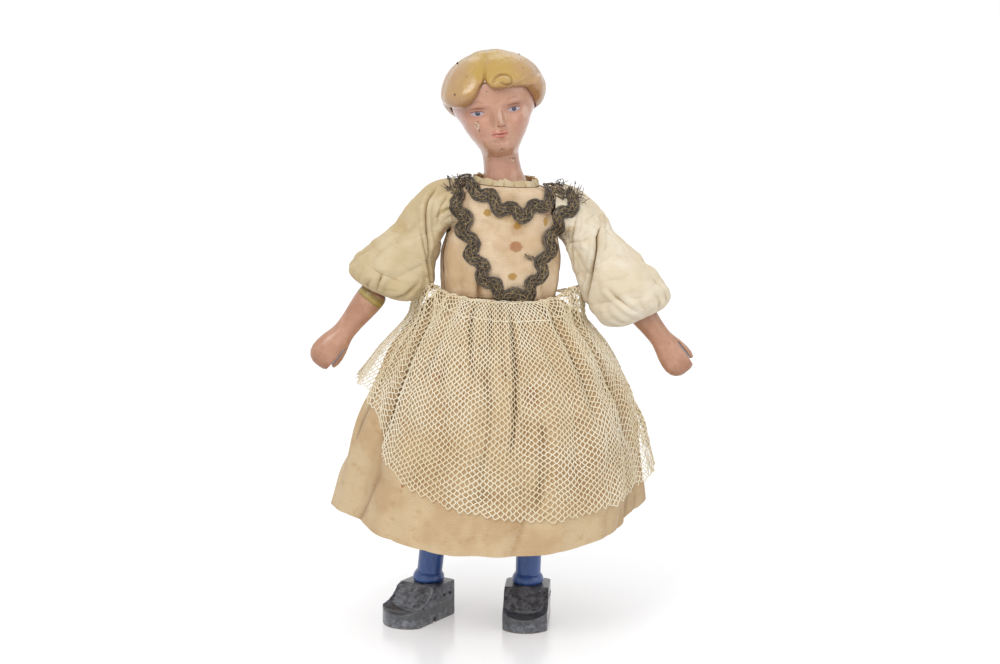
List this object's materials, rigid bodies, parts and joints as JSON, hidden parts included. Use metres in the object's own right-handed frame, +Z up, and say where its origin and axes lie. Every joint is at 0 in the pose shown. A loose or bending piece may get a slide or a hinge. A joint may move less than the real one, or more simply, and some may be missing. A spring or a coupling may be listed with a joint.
{
  "type": "jointed wooden doll",
  "caption": "Peg-jointed wooden doll with turned limbs, paddle hands, carved hair and block shoes, in a cotton dress with puffed sleeves, braid trim and a net apron.",
  "frame": {"origin": "centre of the doll's bounding box, on the floor that the soles stand on", "axes": "+Z up; the doll faces -Y; +X is the doll's left"},
  "size_m": [0.1382, 0.1071, 0.2099],
  "materials": {
    "bare_wood": "bare turned wood, hidden by the dress",
    "flesh_paint": "flesh-coloured oil paint on wood, aged satin varnish, chipped",
    "hair_paint": "golden blond oil paint on carved hair",
    "stocking_paint": "bright blue gloss paint on wood, worn",
    "shoe_paint": "black paint worn grey on wood",
    "muslin": "aged cream cotton",
    "net": "aged hexagonal cotton net",
    "gimp": "dark scroll gimp braid with tarnished gold thread",
    "iron": "rusty iron wire"
  },
  "bodies": {
    "torso": {"torso_block": "bare_wood", "neck_lock_peg": "bare_wood", "shoulder_lock_pegs": "bare_wood", "hip_peg": "bare_wood", "bodice": "muslin", "neck_frill": "muslin", "neckline_braid": "gimp", "front_braid": "gimp", "skirt": "muslin", "net_apron": "net"},
    "head": {"head": "flesh_paint", "hair": "hair_paint", "hair_pins": "iron"},
    "right_shoulder": {"right_shoulder_ball": "bare_wood", "right_shoulder_peg": "bare_wood"},
    "right_upper_arm": {"right_upper_arm": "bare_wood", "right_sleeve": "muslin", "right_elbow_peg": "bare_wood"},
    "right_forearm": {"right_forearm": "flesh_paint"},
    "right_thigh": {"right_thigh": "bare_wood", "right_knee_peg": "bare_wood"},
    "right_shin": {"right_shin": "stocking_paint"},
    "right_shoe": {"right_shoe": "shoe_paint", "right_shoe_brads": "iron"},
    "left_shoulder": {"left_shoulder_ball": "bare_wood", "left_shoulder_peg": "bare_wood"},
    "left_upper_arm": {"left_upper_arm": "bare_wood", "left_sleeve": "muslin", "left_elbow_peg": "bare_wood"},
    "left_forearm": {"left_forearm": "flesh_paint"},
    "left_thigh": {"left_thigh": "bare_wood", "left_knee_peg": "bare_wood"},
    "left_shin": {"left_shin": "stocking_paint"},
    "left_shoe": {"left_shoe": "shoe_paint", "left_shoe_brads": "iron"}
  },
  "joints": [
    {"name": "neck_turn", "type": "hinge", "parent": "torso", "child": "head", "pos_m": [0.00129, 0, 0.15969], "axis": [-0.1271, 0, 0.9919], "range_deg": [-60, 60]},
    {"name": "right_shoulder_swing", "type": "hinge", "parent": "torso", "child": "right_shoulder", "pos_m": [-0.02059, 0, 0.1546], "axis": [-0.9979, 0, 0.0645], "range_deg": [-60, 110], "deforming": ["right_sleeve", "bodice"]},
    {"name": "right_arm_raise", "type": "hinge", "parent": "right_shoulder", "child": "right_upper_arm", "pos_m": [-0.02059, 0, 0.1546], "axis": [0, 1, 0], "range_deg": [-25, 55], "deforming": ["right_sleeve", "bodice", "skirt", "net_apron"]},
    {"name": "right_elbow", "type": "hinge", "parent": "right_upper_arm", "child": "right_forearm", "pos_m": [-0.04185, 0, 0.12806], "axis": [-0.7804, 0, 0.6252], "range_deg": [0, 90], "deforming": ["right_sleeve"]},
    {"name": "right_hip", "type": "hinge", "parent": "torso", "child": "right_thigh", "pos_m": [-0.01742, 0, 0.10278], "axis": [-0.9979, 0, 0.0645], "range_deg": [-15.24, 89.76], "deforming": ["skirt", "net_apron"]},
    {"name": "right_knee", "type": "hinge", "parent": "right_thigh", "child": "right_shin", "pos_m": [-0.02171, 0.00365, 0.05914], "axis": [0.9952, 0.0028, -0.0975], "range_deg": [0, 90], "deforming": ["skirt", "net_apron"]},
    {"name": "right_ankle_turn", "type": "hinge", "parent": "right_shin", "child": "right_shoe", "pos_m": [-0.02624, 0.0075, 0.013], "axis": [0, 0, -1], "range_deg": [-60, 5]},
    {"name": "left_shoulder_swing", "type": "hinge", "parent": "torso", "child": "left_shoulder", "pos_m": [0.02232, 0, 0.15182], "axis": [-0.9979, 0, 0.0645], "range_deg": [-72, 98], "deforming": ["left_sleeve", "bodice"]},
    {"name": "left_arm_raise", "type": "hinge", "parent": "left_shoulder", "child": "left_upper_arm", "pos_m": [0.02232, 0, 0.15182], "axis": [0.0134, -0.9781, 0.2075], "range_deg": [-30, 50], "deforming": ["left_sleeve", "bodice", "skirt", "net_apron"]},
    {"name": "left_elbow", "type": "hinge", "parent": "left_upper_arm", "child": "left_forearm", "pos_m": [0.04249, -0.00541, 0.12499], "axis": [-0.805, -0.1336, -0.578], "range_deg": [0, 90], "deforming": ["left_sleeve"]},
    {"name": "left_hip", "type": "hinge", "parent": "torso", "child": "left_thigh", "pos_m": [0.01251, 0, 0.10085], "axis": [-0.9979, 0, 0.0645], "range_deg": [-20, 85], "deforming": ["skirt", "net_apron"]},
    {"name": "left_knee", "type": "hinge", "parent": "left_thigh", "child": "left_shin", "pos_m": [0.01117, 0, 0.05687], "axis": [0.9995, 0, -0.0304], "range_deg": [0, 90], "deforming": ["skirt", "net_apron"]},
    {"name": "left_ankle_turn", "type": "hinge", "parent": "left_shin", "child": "left_shoe", "pos_m": [0.00984, 0, 0.013], "axis": [0, 0, 1], "range_deg": [-9, 56]}
  ]
}
